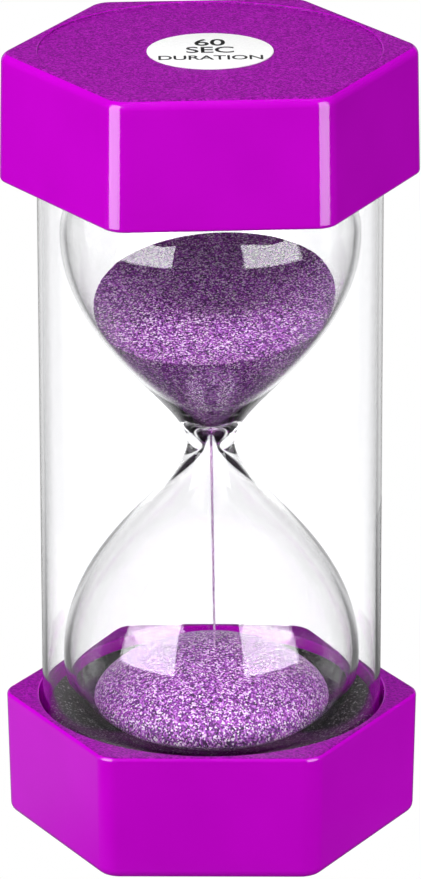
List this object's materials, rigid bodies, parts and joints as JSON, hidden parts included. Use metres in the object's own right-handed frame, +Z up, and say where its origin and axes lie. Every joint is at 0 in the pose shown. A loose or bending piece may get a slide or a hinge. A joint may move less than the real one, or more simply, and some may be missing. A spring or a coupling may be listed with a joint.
{
  "type": "sand timer",
  "caption": "Hourglass-style sand timer: a glass double bulb with running sand inside a clear tube, held between two hexagonal moulded plastic caps.",
  "frame": {"origin": "centre of the lower cap's base, on the surface the timer stands on", "axes": "+Z up along the timer's axis, from the lower cap to the upper cap; -Y is the front, facing one flat of the hexagonal caps, and +X points at a corner of the hexagons"},
  "size_m": [0.0508, 0.0458, 0.1],
  "materials": {
    "cap_plastic": "magenta-purple moulded ABS, smooth gloss sides, fine spark-eroded end faces",
    "tube_plastic": "clear extruded acrylic tube, polished",
    "bulb_glass": "clear blown soda-lime glass",
    "plug_rubber": "off-white moulded rubber",
    "pad_foam": "black fine-celled EVA foam",
    "sand": "fine dyed purple sand with sparkling grains",
    "sand_falling": "thin falling stream of the same sand, paler",
    "label_paper": null
  },
  "bodies": {
    "root": {"lower_cap": "cap_plastic", "upper_cap": "cap_plastic", "outer_tube": "tube_plastic", "glass_bulb": "bulb_glass", "fill_plug": "plug_rubber", "lower_foam_pad": "pad_foam", "upper_foam_pad": "pad_foam", "upper_sand": "sand", "lower_sand": "sand", "sand_stream": "sand_falling", "duration_label": "label_paper"}
  },
  "joints": []
}
